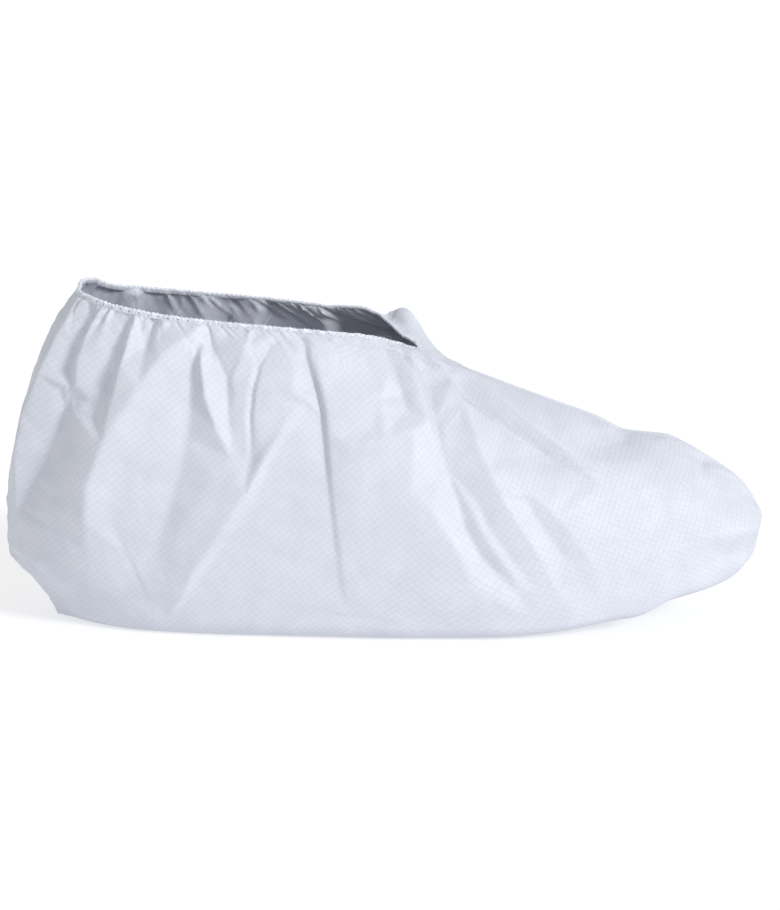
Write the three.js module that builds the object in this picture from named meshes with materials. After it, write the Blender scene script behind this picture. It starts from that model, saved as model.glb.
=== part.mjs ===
// Disposable shoe cover of microporous laminate, keeping the form of the foot that wears it.
// Two mirrored side panels meet along the centre plane, an overlocked seam runs along the
// inside of that joint, and a gathered elastic hem closes the opening around the ankle.
// Millimetres, +X towards the toe, +Y to the wearer's left, +Z up. The origin is the middle of
// the inner floor, where the sole of the foot rests. Heights in the tables count from the ground.
import * as THREE from 'three';
import { mergeVertices } from 'three/addons/utils/BufferGeometryUtils.js';

const wall = 1.0;              // thickness of a panel
const gap = 0.3;               // clearance that sewn pieces keep to one another
const cornerRadius = 9.0;      // rounding between the sole and the side walls
const bulge = 14.0;            // how far the walls belly out between the sole and the rim
const bulgeHeight = 0.7;       // exponent below 1: the belly lies lower than half height
const hemHeight = 3.4;
const hemThickness = 1.9;
const hemGap = 0.5;            // the hem's foot stays this far above the panels
const seamThickness = 1.2;
const seamHeight = 4.6;
const foldMargin = 0.05;       // share of a panel next to its seams and rim that stays unfolded

// Share of a rib, measured from the sole's centre line to the rim.
const soleEnd = 0.17;          // where the flat sole ends
const cornerEnd = 0.24;        // where the side wall starts

const panelColumns = 42;       // cells from the heel seam to the front seam
const soleCells = 3;
const cornerCells = 3;
const wallCells = 14;

// Centre-plane outline of the heel. v is the share of the way from the sole to the rim.
const heelLine = [
  { v: 0.00, x: -156.5, z: 0.0 },
  { v: 0.05, x: -162.0, z: 9.5 },
  { v: 0.10, x: -169.0, z: 18.5 },
  { v: 0.14, x: -175.5, z: 24.5 },
  { v: 0.19, x: -179.8, z: 33.0 },
  { v: 0.31, x: -180.0, z: 55.0 },
  { v: 0.45, x: -175.8, z: 78.0 },
  { v: 0.58, x: -170.0, z: 101.5 },
  { v: 0.70, x: -164.4, z: 121.0 },
  { v: 0.82, x: -157.0, z: 139.0 },
  { v: 0.91, x: -150.4, z: 149.6 },
  { v: 1.00, x: -143.0, z: 158.4 },
];

// Centre-plane outline of the toe and instep, from under the toe up to the opening.
const frontLine = [
  { v: 0.00, x: 162.0, z: 18.0 },
  { v: 0.05, x: 171.0, z: 23.5 },
  { v: 0.10, x: 176.8, z: 31.5 },
  { v: 0.17, x: 180.4, z: 44.0 },
  { v: 0.24, x: 178.0, z: 54.0 },
  { v: 0.31, x: 170.5, z: 65.0 },
  { v: 0.39, x: 155.0, z: 77.0 },
  { v: 0.47, x: 136.5, z: 86.6 },
  { v: 0.55, x: 118.0, z: 90.8 },
  { v: 0.64, x: 99.0, z: 97.6 },
  { v: 0.75, x: 71.0, z: 106.4 },
  { v: 0.88, x: 44.0, z: 115.8 },
  { v: 1.00, x: 20.5, z: 126.4 },
];

// Rim of one side. t is the share of the way from the heel seam to the front seam.
const rimLine = [
  { t: 0.00, x: -143.0, y: 0.0, z: 158.4 },
  { t: 0.02, x: -142.3, y: 6.5, z: 158.2 },
  { t: 0.05, x: -138.8, y: 14.0, z: 157.6 },
  { t: 0.15, x: -126.0, y: 27.0, z: 155.2 },
  { t: 0.28, x: -106.0, y: 35.5, z: 152.2 },
  { t: 0.40, x: -88.0, y: 38.5, z: 150.0 },
  { t: 0.52, x: -67.0, y: 39.5, z: 148.0 },
  { t: 0.64, x: -46.0, y: 38.0, z: 145.8 },
  { t: 0.76, x: -25.0, y: 34.0, z: 143.0 },
  { t: 0.86, x: -7.0, y: 27.0, z: 139.4 },
  { t: 0.94, x: 9.5, y: 15.5, z: 132.8 },
  { t: 0.98, x: 18.5, y: 7.0, z: 127.9 },
  { t: 1.00, x: 20.5, y: 0.0, z: 126.4 },
];

// Outer edge of the sole of one side, lifting off the ground towards the toe.
const soleLine = [
  { t: 0.00, x: -156.5, y: 0.0, z: 0.0 },
  { t: 0.03, x: -149.0, y: 9.0, z: 0.0 },
  { t: 0.08, x: -136.0, y: 23.0, z: 0.0 },
  { t: 0.15, x: -114.0, y: 35.5, z: 0.0 },
  { t: 0.25, x: -83.0, y: 42.5, z: 0.0 },
  { t: 0.38, x: -40.0, y: 47.0, z: 0.0 },
  { t: 0.52, x: 8.0, y: 50.5, z: 0.0 },
  { t: 0.64, x: 50.0, y: 51.0, z: 0.4 },
  { t: 0.74, x: 80.0, y: 47.5, z: 2.2 },
  { t: 0.83, x: 107.0, y: 39.5, z: 6.2 },
  { t: 0.91, x: 132.0, y: 31.5, z: 11.8 },
  { t: 0.96, x: 148.0, y: 23.0, z: 15.4 },
  { t: 0.985, x: 158.0, y: 12.5, z: 17.4 },
  { t: 1.00, x: 162.0, y: 0.0, z: 18.0 },
];

// Main folds of the panels in side view. Each runs from (x, z) over a middle point to an end,
// rising above the panel by rise (a valley where it is negative) and fading out at width.
const folds = [
  { side: 'right', from: [-146, 158], over: [-164, 108], to: [-178, 40], rise: -2.5, width: 12 },
  { side: 'right', from: [-128, 152], over: [-150, 118], to: [-166, 66], rise: 3.0, width: 12 },
  { side: 'right', from: [-116, 151], over: [-124, 116], to: [-138, 46], rise: -3.0, width: 12 },
  { side: 'right', from: [-98, 142], over: [-112, 112], to: [-134, 44], rise: 4.0, width: 15 },
  { side: 'right', from: [-83, 145], over: [-82, 108], to: [-102, 48], rise: -3.5, width: 14 },
  { side: 'right', from: [-72, 146], over: [-72, 119], to: [-68, 88], rise: 3.5, width: 12 },
  { side: 'right', from: [-53, 146], over: [-59, 116], to: [-58, 84], rise: -3.5, width: 11 },
  { side: 'right', from: [-31, 114], over: [-56, 88], to: [-97, 14], rise: 3.0, width: 10 },
  { side: 'right', from: [-36, 142], over: [-26, 104], to: [-17, 16], rise: -3.5, width: 13 },
  { side: 'right', from: [-22, 97], over: [12, 92], to: [48, 8], rise: 4.0, width: 14 },
  { side: 'right', from: [14, 124], over: [38, 88], to: [66, 20], rise: -4.0, width: 12 },
  { side: 'right', from: [22, 128], over: [48, 90], to: [80, 22], rise: 3.0, width: 12 },
  { side: 'right', from: [142, 52], over: [158, 52], to: [174, 53], rise: -1.8, width: 9 },
  { side: 'left', from: [-120, 152], over: [-142, 118], to: [-160, 62], rise: 3.0, width: 13 },
  { side: 'left', from: [-104, 150], over: [-118, 104], to: [-132, 50], rise: -3.5, width: 14 },
  { side: 'left', from: [-80, 146], over: [-92, 100], to: [-110, 30], rise: 4.0, width: 15 },
  { side: 'left', from: [-58, 146], over: [-60, 110], to: [-74, 60], rise: -3.5, width: 13 },
  { side: 'left', from: [-34, 138], over: [-38, 96], to: [-46, 40], rise: 3.5, width: 14 },
  { side: 'left', from: [-10, 130], over: [-6, 90], to: [8, 24], rise: -3.5, width: 13 },
  { side: 'left', from: [0, 130], over: [10, 131], to: [24, 121], rise: 3.5, width: 12 },
  { side: 'left', from: [20, 122], over: [44, 84], to: [64, 26], rise: 3.5, width: 13 },
  { side: 'left', from: [58, 100], over: [84, 70], to: [98, 34], rise: -3.0, width: 12 },
  { side: 'left', from: [146, 46], over: [160, 45], to: [173, 44], rise: -1.8, width: 9 },
];

const laminate = new THREE.MeshStandardMaterial({ color: 0xdfe2ea, roughness: 0.72, metalness: 0 });
const elastic = new THREE.MeshStandardMaterial({ color: 0xe9eaee, roughness: 0.85, metalness: 0 });
const thread = new THREE.MeshStandardMaterial({ color: 0xe4e6ec, roughness: 0.9, metalness: 0 });

// Value of one column of a table at a given share, smooth and never past the rows beside it.
function along(rows, by, share, column) {
  const last = rows.length - 1;
  const slope = (k) => (rows[k + 1][column] - rows[k][column]) / (rows[k + 1][by] - rows[k][by]);
  const tangent = (k) => {
    if (k === 0) return slope(0);
    if (k === last) return slope(last - 1);
    const [before, after] = [slope(k - 1), slope(k)];
    return before * after > 0 ? (2 * before * after) / (before + after) : 0;
  };
  let k = 0;
  while (k < last - 1 && share > rows[k + 1][by]) k += 1;
  const step = rows[k + 1][by] - rows[k][by];
  const s = (share - rows[k][by]) / step;
  return rows[k][column] * (1 + 2 * s) * (1 - s) ** 2
    + rows[k + 1][column] * s * s * (3 - 2 * s)
    + step * (tangent(k) * s * (1 - s) ** 2 - tangent(k + 1) * s * s * (1 - s));
}

// Point of the side wall: a patch blended between the four lines, then bellied outwards.
function wallPoint(t, v) {
  const blend = (column) => {
    const [heelFoot, heelTop] = [heelLine[0][column], heelLine.at(-1)[column]];
    const [frontFoot, frontTop] = [frontLine[0][column], frontLine.at(-1)[column]];
    const corners = (1 - v) * ((1 - t) * heelFoot + t * frontFoot) + v * ((1 - t) * heelTop + t * frontTop);
    return (1 - t) * along(heelLine, 'v', v, column) + t * along(frontLine, 'v', v, column)
      + (1 - v) * along(soleLine, 't', t, column) + v * along(rimLine, 't', t, column) - corners;
  };
  const flat = (1 - v) * along(soleLine, 't', t, 'y') + v * along(rimLine, 't', t, 'y');
  const belly = Math.sin(Math.PI * v ** bulgeHeight) * Math.sqrt(t) * (1 - t) ** 0.8 / 0.42;
  return new THREE.Vector3(blend('x'), flat + bulge * belly, blend('z'));
}

// Point of a panel: flat sole, rounded corner, then the side wall up to just under the hem.
function panelPoint(t, q) {
  const edge = wallPoint(t, 0);
  const radius = (cornerRadius * edge.y) / (edge.y + cornerRadius);
  const centre = new THREE.Vector3(edge.x, 0, edge.z);
  const soleStop = edge.clone().lerp(centre, edge.y > 0 ? radius / edge.y : 1);
  if (q <= soleEnd) return centre.lerp(soleStop, q / soleEnd);

  const length = ribLength(t);
  const wallFoot = radius / length;
  const wallTop = 1 - (hemHeight + hemGap) / length;
  if (q < cornerEnd) {
    const corner = new THREE.QuadraticBezierCurve3(soleStop, edge, wallPoint(t, wallFoot));
    return corner.getPoint((q - soleEnd) / (cornerEnd - soleEnd));
  }
  return wallPoint(t, wallFoot + ((wallTop - wallFoot) * (q - cornerEnd)) / (1 - cornerEnd));
}

function ribLength(t) {
  const samples = 12;
  let length = 0;
  for (let k = 0; k < samples; k += 1) {
    length += wallPoint(t, k / samples).distanceTo(wallPoint(t, (k + 1) / samples));
  }
  return length;
}

// Outward normal of the unfolded panel. At a tip of the sole it is taken just above the corner.
function panelNormal(t, q) {
  const step = 0.002;
  const height = t === 0 || t === 1 ? Math.max(q, cornerEnd + step) : q;
  const [back, ahead] = [Math.max(0, t - step), Math.min(1, t + step)];
  const [below, above] = [Math.max(0, height - step), Math.min(1, height + step)];
  const forward = panelPoint(ahead, height).sub(panelPoint(back, height));
  const upward = panelPoint(t, above).sub(panelPoint(t, below));
  return upward.cross(forward).normalize();
}

const foldPaths = folds.map((fold) => ({
  ...fold,
  points: new THREE.QuadraticBezierCurve(
    new THREE.Vector2(...fold.from), new THREE.Vector2(...fold.over), new THREE.Vector2(...fold.to),
  ).getPoints(12),
}));

// Height of the folds over a point of the side view.
function foldHeight(side, x, z) {
  const here = new THREE.Vector2(x, z);
  return foldPaths.filter((fold) => fold.side === side).reduce((height, fold) => {
    const distances = fold.points.map((point) => point.distanceTo(here));
    const nearest = distances.indexOf(Math.min(...distances));
    const near = Math.min(1, distances[nearest] / fold.width);
    const taper = Math.sqrt(Math.sin(Math.PI * (nearest + 0.5) / fold.points.length));
    return height + fold.rise * taper * (0.5 + 0.5 * Math.cos(Math.PI * near));
  }, 0);
}

function foldedPoint(side, t, q) {
  const point = panelPoint(t, q);
  const { smoothstep } = THREE.MathUtils;
  const free = smoothstep(Math.min(t, 1 - t), 0, foldMargin) * smoothstep(1 - q, 0, foldMargin)
    * smoothstep(q, cornerEnd, cornerEnd + foldMargin);
  if (free > 0) point.addScaledVector(panelNormal(t, q), free * foldHeight(side, point.x, point.z));
  return point;
}

// Grid of a panel: columns from the heel seam forwards, rows from the sole's centre line up.
const columns = Array.from({ length: panelColumns + 1 }, (_, i) => {
  const share = i / panelColumns;
  return share - 0.05 * Math.sin(2 * Math.PI * share);
});
const rows = [
  ...Array.from({ length: soleCells }, (_, j) => (soleEnd * j) / soleCells),
  ...Array.from({ length: cornerCells }, (_, j) => soleEnd + ((cornerEnd - soleEnd) * j) / cornerCells),
  ...Array.from({ length: wallCells + 1 }, (_, j) => cornerEnd + ((1 - cornerEnd) * j) / wallCells),
];
const lastColumn = columns.length - 1;
const lastRow = rows.length - 1;
const tipRow = soleCells + cornerCells;

// The joint of the two panels as one line in the centre plane: down the heel, along the sole,
// and up over the toe and instep. Each place keeps how squarely the panel meets that plane.
const joint = [];
for (let j = lastRow; j > tipRow; j -= 1) joint.push({ i: 0, j });
for (let i = 0; i <= lastColumn; i += 1) joint.push({ i, j: 0 });
for (let j = tipRow + 1; j <= lastRow; j += 1) joint.push({ i: lastColumn, j });
joint.forEach((place) => {
  const [t, q] = [columns[place.i], rows[place.j]];
  const normal = panelNormal(t, q);
  place.point = panelPoint(t, q);
  place.lean = Math.hypot(normal.x, normal.z);
});
joint.forEach((place, k) => {
  const before = joint[Math.max(0, k - 1)].point;
  const after = joint[Math.min(joint.length - 1, k + 1)].point;
  place.along = after.clone().sub(before).normalize();
  place.inward = new THREE.Vector3(-place.along.z, 0, place.along.x);
});

function jointPlace(i, j) {
  if (i === 0) return joint[lastRow - Math.max(j, tipRow)];
  if (i === lastColumn) return joint[lastRow - tipRow + lastColumn + Math.max(j, tipRow) - tipRow];
  return j === 0 ? joint[lastRow - tipRow + i] : null;
}

// One closed body out of points and triangles, with equal points merged.
function body(name, points, faces, material) {
  const positions = points.flatMap((point) => [point.x, point.y, point.z]);
  const loose = new THREE.BufferGeometry();
  loose.setAttribute('position', new THREE.Float32BufferAttribute(positions, 3));
  loose.setIndex(faces.flat());
  const geometry = mergeVertices(loose, 1e-3);
  const corners = geometry.getIndex().array;
  const kept = [];
  for (let k = 0; k < corners.length; k += 3) {
    const face = [corners[k], corners[k + 1], corners[k + 2]];
    if (new Set(face).size === 3) kept.push(...face);
  }
  geometry.setIndex(kept);
  geometry.computeVertexNormals();
  const mesh = new THREE.Mesh(geometry, material);
  mesh.name = name;
  return mesh;
}

const quad = (a, b, c, d) => [[a, b, c], [a, c, d]];

// A panel is its folded outer skin and the same skin moved inwards by the wall.
function panel(side) {
  const sign = side === 'left' ? 1 : -1;
  const at = (i, j) => i * (lastRow + 1) + j;
  const outer = columns.flatMap((t) => rows.map((q) => foldedPoint(side, t, q)));
  const inner = outer.map((point, k) => {
    const [i, j] = [Math.floor(k / (lastRow + 1)), k % (lastRow + 1)];
    const place = jointPlace(i, j);
    if (place) return point.clone().addScaledVector(place.inward, wall / place.lean);
    const upward = outer[at(i, Math.min(j + 1, lastRow))].clone().sub(outer[at(i, j - 1)]);
    const forward = outer[at(i + 1, j)].clone().sub(outer[at(i - 1, j)]);
    return point.clone().addScaledVector(upward.cross(forward).normalize(), -wall);
  });

  const inside = (i, j) => outer.length + at(i, j);
  const faces = [];
  for (let i = 0; i < lastColumn; i += 1) {
    for (let j = 0; j < lastRow; j += 1) {
      faces.push(...quad(at(i, j), at(i, j + 1), at(i + 1, j + 1), at(i + 1, j)));
      faces.push(...quad(inside(i, j), inside(i + 1, j), inside(i + 1, j + 1), inside(i, j + 1)));
    }
    faces.push(...quad(at(i, 0), at(i + 1, 0), inside(i + 1, 0), inside(i, 0)));
    faces.push(...quad(at(i, lastRow), inside(i, lastRow), inside(i + 1, lastRow), at(i + 1, lastRow)));
  }
  for (let j = 0; j < lastRow; j += 1) {
    faces.push(...quad(at(0, j), inside(0, j), inside(0, j + 1), at(0, j + 1)));
    const [here, above] = [at(lastColumn, j), at(lastColumn, j + 1)];
    faces.push(...quad(here, above, inside(lastColumn, j + 1), inside(lastColumn, j)));
  }
  if (side === 'right') faces.forEach((face) => face.reverse());
  const points = [...outer, ...inner].map((p) => new THREE.Vector3(p.x, sign * (p.y + gap / 2), p.z));
  return body(`${side}_panel`, points, faces, laminate);
}

// The hem is a flattened band with rounded edges, standing on the upper edge of both panels.
function elasticHem() {
  const halfRing = columns.map((t, i) => {
    const place = jointPlace(i, lastRow);
    const top = panelPoint(t, 1);
    if (place) {
      const base = top.addScaledVector(place.inward, wall / 2 / place.lean);
      return { base, up: place.along.clone().multiplyScalar(i === 0 ? -1 : 1) };
    }
    const up = top.clone().sub(panelPoint(t, 0.97)).normalize();
    const base = top.addScaledVector(panelNormal(t, 1), -wall / 2);
    base.y += gap / 2;
    return { base, up };
  });
  const mirror = ({ x, y, z }) => new THREE.Vector3(x, -y, z);
  const ring = [
    ...halfRing.map(({ base, up }) => ({ base: mirror(base), up: mirror(up) })),
    ...halfRing.slice(1, -1).reverse(),
  ];

  const outline = [[0.6, -1], [1, -0.6], [1, 0.6], [0.6, 1], [-0.6, 1], [-1, 0.6], [-1, -0.6], [-0.6, -1]];
  const points = ring.flatMap(({ base, up }, k) => {
    const before = ring.at(k - 1).base;
    const after = ring[(k + 1) % ring.length].base;
    const forward = after.clone().sub(before).normalize();
    const outward = forward.clone().cross(up).normalize();
    const upward = outward.clone().cross(forward);
    const middle = base.clone().addScaledVector(upward, hemGap + hemHeight / 2);
    return outline.map(([out, high]) => middle.clone()
      .addScaledVector(outward, (out * hemThickness) / 2)
      .addScaledVector(upward, (high * hemHeight) / 2));
  });
  const faces = [];
  ring.forEach((_, k) => {
    const [here, next] = [k * outline.length, ((k + 1) % ring.length) * outline.length];
    outline.forEach((__, m) => {
      const n = (m + 1) % outline.length;
      faces.push(...quad(here + m, next + m, next + n, here + n));
    });
  });
  return body('elastic_hem', points, faces, elastic);
}

// The seam allowance stands inwards along the whole joint, with its edge overlocked.
function centreSeam() {
  const points = joint.flatMap(({ point, inward, lean }) => {
    const slant = Math.sqrt(Math.max(0, 1 - lean * lean));
    const start = (wall + gap + (seamThickness / 2) * slant) / lean;
    return [[-1, start], [1, start], [1, start + seamHeight], [-1, start + seamHeight]]
      .map(([across, depth]) => {
        const corner = point.clone().addScaledVector(inward, depth);
        corner.y = (across * seamThickness) / 2;
        return corner;
      });
  });
  const faces = [];
  for (let k = 0; k < joint.length - 1; k += 1) {
    const [here, next] = [4 * k, 4 * (k + 1)];
    for (let m = 0; m < 4; m += 1) {
      const n = (m + 1) % 4;
      faces.push(...quad(here + m, here + n, next + n, next + m));
    }
  }
  const last = 4 * (joint.length - 1);
  faces.push(...quad(3, 2, 1, 0), ...quad(last, last + 1, last + 2, last + 3));
  return body('centre_seam', points, faces, thread);
}

const shoeCover = new THREE.Group();
shoeCover.position.z = -wall;
shoeCover.add(panel('right'), panel('left'), elasticHem(), centreSeam());

export default shoeCover;
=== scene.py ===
import math

import bpy
import numpy as np
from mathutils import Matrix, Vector, geometry


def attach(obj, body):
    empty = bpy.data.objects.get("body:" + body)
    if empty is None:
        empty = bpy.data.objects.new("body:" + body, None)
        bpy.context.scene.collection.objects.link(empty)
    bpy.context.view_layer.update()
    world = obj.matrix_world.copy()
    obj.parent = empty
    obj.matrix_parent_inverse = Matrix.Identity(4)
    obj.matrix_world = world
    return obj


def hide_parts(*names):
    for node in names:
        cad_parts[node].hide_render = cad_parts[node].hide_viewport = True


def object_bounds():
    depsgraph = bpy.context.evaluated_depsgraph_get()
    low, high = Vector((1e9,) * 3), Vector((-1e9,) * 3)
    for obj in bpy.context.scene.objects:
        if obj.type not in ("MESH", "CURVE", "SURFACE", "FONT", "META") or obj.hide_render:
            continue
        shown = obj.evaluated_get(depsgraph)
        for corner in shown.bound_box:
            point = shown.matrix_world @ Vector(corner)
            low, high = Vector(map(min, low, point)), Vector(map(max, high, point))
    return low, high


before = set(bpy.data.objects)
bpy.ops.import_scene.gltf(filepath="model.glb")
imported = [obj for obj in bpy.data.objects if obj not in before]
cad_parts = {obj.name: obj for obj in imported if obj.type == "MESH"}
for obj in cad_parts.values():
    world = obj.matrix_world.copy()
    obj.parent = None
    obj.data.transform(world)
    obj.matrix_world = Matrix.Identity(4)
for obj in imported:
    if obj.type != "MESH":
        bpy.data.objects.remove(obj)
cadBox = [list(corner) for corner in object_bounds()]
scene = bpy.context.scene
mm = 0.001
groundZ = cadBox[0][2] / mm

# The form of one side, in mm above the ground. It starts from the CAD panels' four lines. The seam over
# the toe and the opening's front corner differ from them by a few millimetres.
form = {
    # share of the way from the sole to the rim, x, z
    "heelLine": [(0, -156.5, 0), (0.05, -162, 9.5), (0.10, -169, 18.5), (0.14, -175.5, 24.5),
                 (0.19, -179.8, 33), (0.31, -180, 55), (0.45, -175.8, 78), (0.58, -170, 101.5),
                 (0.70, -164.4, 121), (0.82, -157, 139), (0.91, -150.4, 149.6), (1, -143, 158.4)],
    "frontLine": [(0, 162, 18), (0.05, 171, 22.8), (0.10, 176.8, 30.8), (0.17, 179.6, 43.5),
                  (0.195, 180.4, 48), (0.24, 177.8, 54.5), (0.31, 170.5, 65.5), (0.39, 155, 77),
                  (0.47, 136.5, 86.6), (0.55, 118, 90), (0.64, 99, 98), (0.75, 71, 108.2), (0.88, 44, 118.4),
                  (1, 16.5, 128.9)],
    # share of the way from the heel seam to the front seam, x, y, z
    "rimLine": [(0, -143, 0, 158.4), (0.02, -142.3, 6.5, 158.2), (0.05, -138.8, 14, 157.6),
                (0.15, -126, 27, 155.2), (0.28, -106, 35.5, 152.2), (0.40, -88, 38.5, 150),
                (0.52, -67, 39.5, 148), (0.64, -46, 38, 145.8), (0.76, -25, 34, 143),
                (0.86, -7, 27, 139.9), (0.94, 6.5, 15.5, 134.4), (0.98, 14, 7, 130.6),
                (1, 16.5, 0, 128.9)],
    "soleLine": [(0, -156.5, 0, 0), (0.03, -149, 9, 0), (0.08, -136, 23, 0), (0.15, -114, 35.5, 0),
                 (0.25, -83, 42.5, 0), (0.38, -40, 47, 0), (0.52, 8, 50.5, 0), (0.64, 50, 51, 0.4),
                 (0.74, 80, 47.5, 2.2), (0.83, 107, 39.5, 5.6), (0.865, 117, 36.8, 6.6),
                 (0.91, 132, 31.5, 13), (0.96, 148, 23, 15.8), (0.985, 158, 12.5, 17.4), (1, 162, 0, 18)],
    "cornerRadius": 9.0,   # rounding between the sole and the side
    "bulge": 14.0,         # how far the sides belly out
    "bulgeHeight": 0.7,    # 1 is widest half way up, less is widest lower down
    "bulgeTaper": 0.8,     # how the belly narrows towards the toe
    "bulgePeak": 0.42,     # greatest value of that curve along the foot
    "tent": 0.3,           # how steeply the cloth slopes down from the seam over the toe
    "tentReach": 25.0,     # how far below that seam the slope still shows
    "tentStart": (8, 28),  # the x where it begins, and how much further on it is full
    "tentFade": (0.25, 0.15),  # shares of the height over which it fades at the sole and at the rim
    "toeHeight": 48,       # of the foremost point
    # small steps in the seam over the toe: a short shelf and the notch behind it
    "shelf": [(0.42, 0), (0.455, 0.3), (0.475, 1.2), (0.53, 0.6), (0.56, -0.2), (0.578, -0.8), (0.60, -0.3),
              (0.63, 0)],
    "shelfReach": 0.022,   # how far round from the front seam it goes
    "underHem": 1.0,       # the panels end this far below the rim, inside the hem
    "columns": 384,
    "crowding": 0.05,      # how much closer the columns lie beside the seams
    "ribPoints": 40,       # by which each column is measured
    "soleRows": 12,
    "cornerRows": 10,
    "wallRows": 170,
}
firstWallRow = form["soleRows"] + form["cornerRows"]

# What the far side has and the near side hasn't. Places and widths are shares of the foot and the height.
farSide = {
    "lift": [(0.05, 0.05, 3.0), (0.85, 0.08, 3.2)],  # the hem rides up: where, how wide, how many mm
    "pinch": (0.955, 0.03, 6.0),  # and is drawn in towards the near hem at the front
    "puff": (0.90, 0.945, 0.032, 0.04, 11.0),  # the cloth billows up behind it
    "from": 0.72,        # how far up the side the lift and the pinch begin
    "heelFade": 0.02,    # all of it fades towards the seams and the rim
    "frontFade": 0.03,
    "pinchFade": 0.06,
    "rimFade": 0.03,
}


def ramp(x):
    return np.clip(x, 0, 1)


def smooth(x):
    x = ramp(x)
    return x * x * (3 - 2 * x)


def bell(x):
    return np.exp(-x ** 2)


def unit(vectors):
    return vectors / np.linalg.norm(vectors, axis=-1, keepdims=True)


def distances(points):  # how far along the line each point lies
    return np.concatenate([[0], np.linalg.norm(np.diff(points, axis=0), axis=1).cumsum()])


def pointsAt(s, run, line):  # the line's points at the distances s
    return np.stack([np.interp(s, run, column) for column in line.T], 1)


def along(rows, share, column):  # one column of a table, smooth and never past the rows beside it
    table = np.array(rows, float)
    at, value = table[:, 0], table[:, column]
    slope = np.diff(value) / np.diff(at)
    before, after = slope[:-1], slope[1:]
    product = before * after
    total = np.where(product > 0, before + after, 1)
    tangent = np.concatenate([slope[:1], np.where(product > 0, 2 * product / total, 0), slope[-1:]])
    k = np.clip(np.searchsorted(at, share) - 1, 0, len(at) - 2)
    step = at[k + 1] - at[k]
    s = (share - at[k]) / step
    return (value[k] * (1 + 2 * s) * (1 - s) ** 2 + value[k + 1] * s * s * (3 - 2 * s)
            + step * (tangent[k] * s * (1 - s) ** 2 - tangent[k + 1] * s * s * (1 - s)))


def wallPoint(t, v):  # the side between the four lines, bellied outwards, for y > 0
    t, v = np.broadcast_arrays(np.asarray(t, float), np.asarray(v, float))
    heel, front, rim, sole = (form[k] for k in ("heelLine", "frontLine", "rimLine", "soleLine"))
    point = np.empty(t.shape + (3,))
    for axis, a, b in ((0, 1, 1), (2, 2, 3)):
        corners = ((1 - v) * ((1 - t) * heel[0][a] + t * front[0][a])
                   + v * ((1 - t) * heel[-1][a] + t * front[-1][a]))
        point[..., axis] = ((1 - t) * along(heel, v, a) + t * along(front, v, a)
                            + (1 - v) * along(sole, t, b) + v * along(rim, t, b) - corners)
    belly = np.sin(math.pi * v ** form["bulgeHeight"]) * np.sqrt(t) * (1 - t) ** form["bulgeTaper"]
    point[..., 1] = (1 - v) * along(sole, t, 2) + v * along(rim, t, 2) + form["bulge"] * (
        belly / form["bulgePeak"])
    x, y, z = point[..., 0], point[..., 1], point[..., 2]
    crown = np.array([row[1:] for row in front if row[2] >= form["toeHeight"]][::-1], float)
    under = np.clip(np.interp(x, crown[:, 0], crown[:, 1]) - z, 0, None)
    start, run = form["tentStart"]
    bottom, top = form["tentFade"]
    ends = smooth((x - start) / run) * smooth((1 - v) / top) * smooth(v / bottom)
    point[..., 2] -= form["tent"] * y * np.exp(-under / form["tentReach"]) * ends
    return point


def shelf(t, v):  # a small step in the seam over the toe: height in mm
    share, rise = np.array(form["shelf"]).T
    return np.interp(v, share, rise) * bell((1 - t) / form["shelfReach"])


def farShift(t, v):
    near = ramp((v - farSide["from"]) / (1 - farSide["from"])) ** 2
    closed = ramp((1 - t) / farSide["frontFade"]) * ramp(t / farSide["heelFade"])
    shift = np.zeros(np.broadcast(t, v).shape + (3,))
    for at, spread, rise in farSide["lift"]:
        shift[..., 2] += rise * bell((t - at) / spread) * near * closed
    at, spread, pinch = farSide["pinch"]
    shift[..., 1] -= pinch * bell((t - at) / spread) * near * ramp((1 - t) / farSide["pinchFade"])
    at, level, spread, height, rise = farSide["puff"]
    puff = rise * bell((t - at) / spread) * bell((v - level) / height)
    shift[..., 2] += puff * ramp((1 - v) / farSide["rimFade"]) * closed
    return shift


def shares(cells):  # closer together towards the heel and front seams
    s = np.linspace(0, 1, cells + 1)
    return s - form["crowding"] * np.sin(2 * math.pi * s)


def panelGrid(t):  # columns along the foot by rows from the sole's centre line up to the hem
    edge = wallPoint(t, 0 * t)
    radius = form["cornerRadius"] * edge[:, 1] / (edge[:, 1] + form["cornerRadius"])
    ribs = wallPoint(t[:, None], np.linspace(0, 1, form["ribPoints"])[None])
    ribLength = np.linalg.norm(np.diff(ribs, axis=1), axis=2).sum(1)
    foot, top = radius / ribLength, 1 - form["underHem"] / ribLength
    stop = edge - radius[:, None] * (0, 1, 0)
    middle = edge * (1, 0, 1)
    s = np.arange(form["soleRows"])[None, :, None] / form["soleRows"]
    sole = middle[:, None] * (1 - s) + stop[:, None] * s
    s = np.arange(form["cornerRows"])[None, :, None] / form["cornerRows"]
    wallFoot = wallPoint(t, foot)
    corner = stop[:, None] * (1 - s) ** 2 + edge[:, None] * 2 * s * (1 - s) + wallFoot[:, None] * s * s
    s = np.linspace(0, 1, form["wallRows"] + 1)[None]
    wall = wallPoint(t[:, None], foot[:, None] + (top - foot)[:, None] * s)
    return np.concatenate([sole, corner, wall], axis=1)


def gridNormals(grid):
    normal = np.cross(np.gradient(grid, axis=1), np.gradient(grid, axis=0))
    for column in (0, -1):  # the sole narrows to a point under the heel and the toe
        normal[column, :firstWallRow + 1] = normal[column, firstWallRow + 1]
    length = np.linalg.norm(normal, axis=2, keepdims=True)
    return normal / np.maximum(length, 1e-9)


flatMap = {"columns": 44, "rows": 30, "rounds": 1500, "speed": 1.6}  # of the net that is laid out flat


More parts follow.
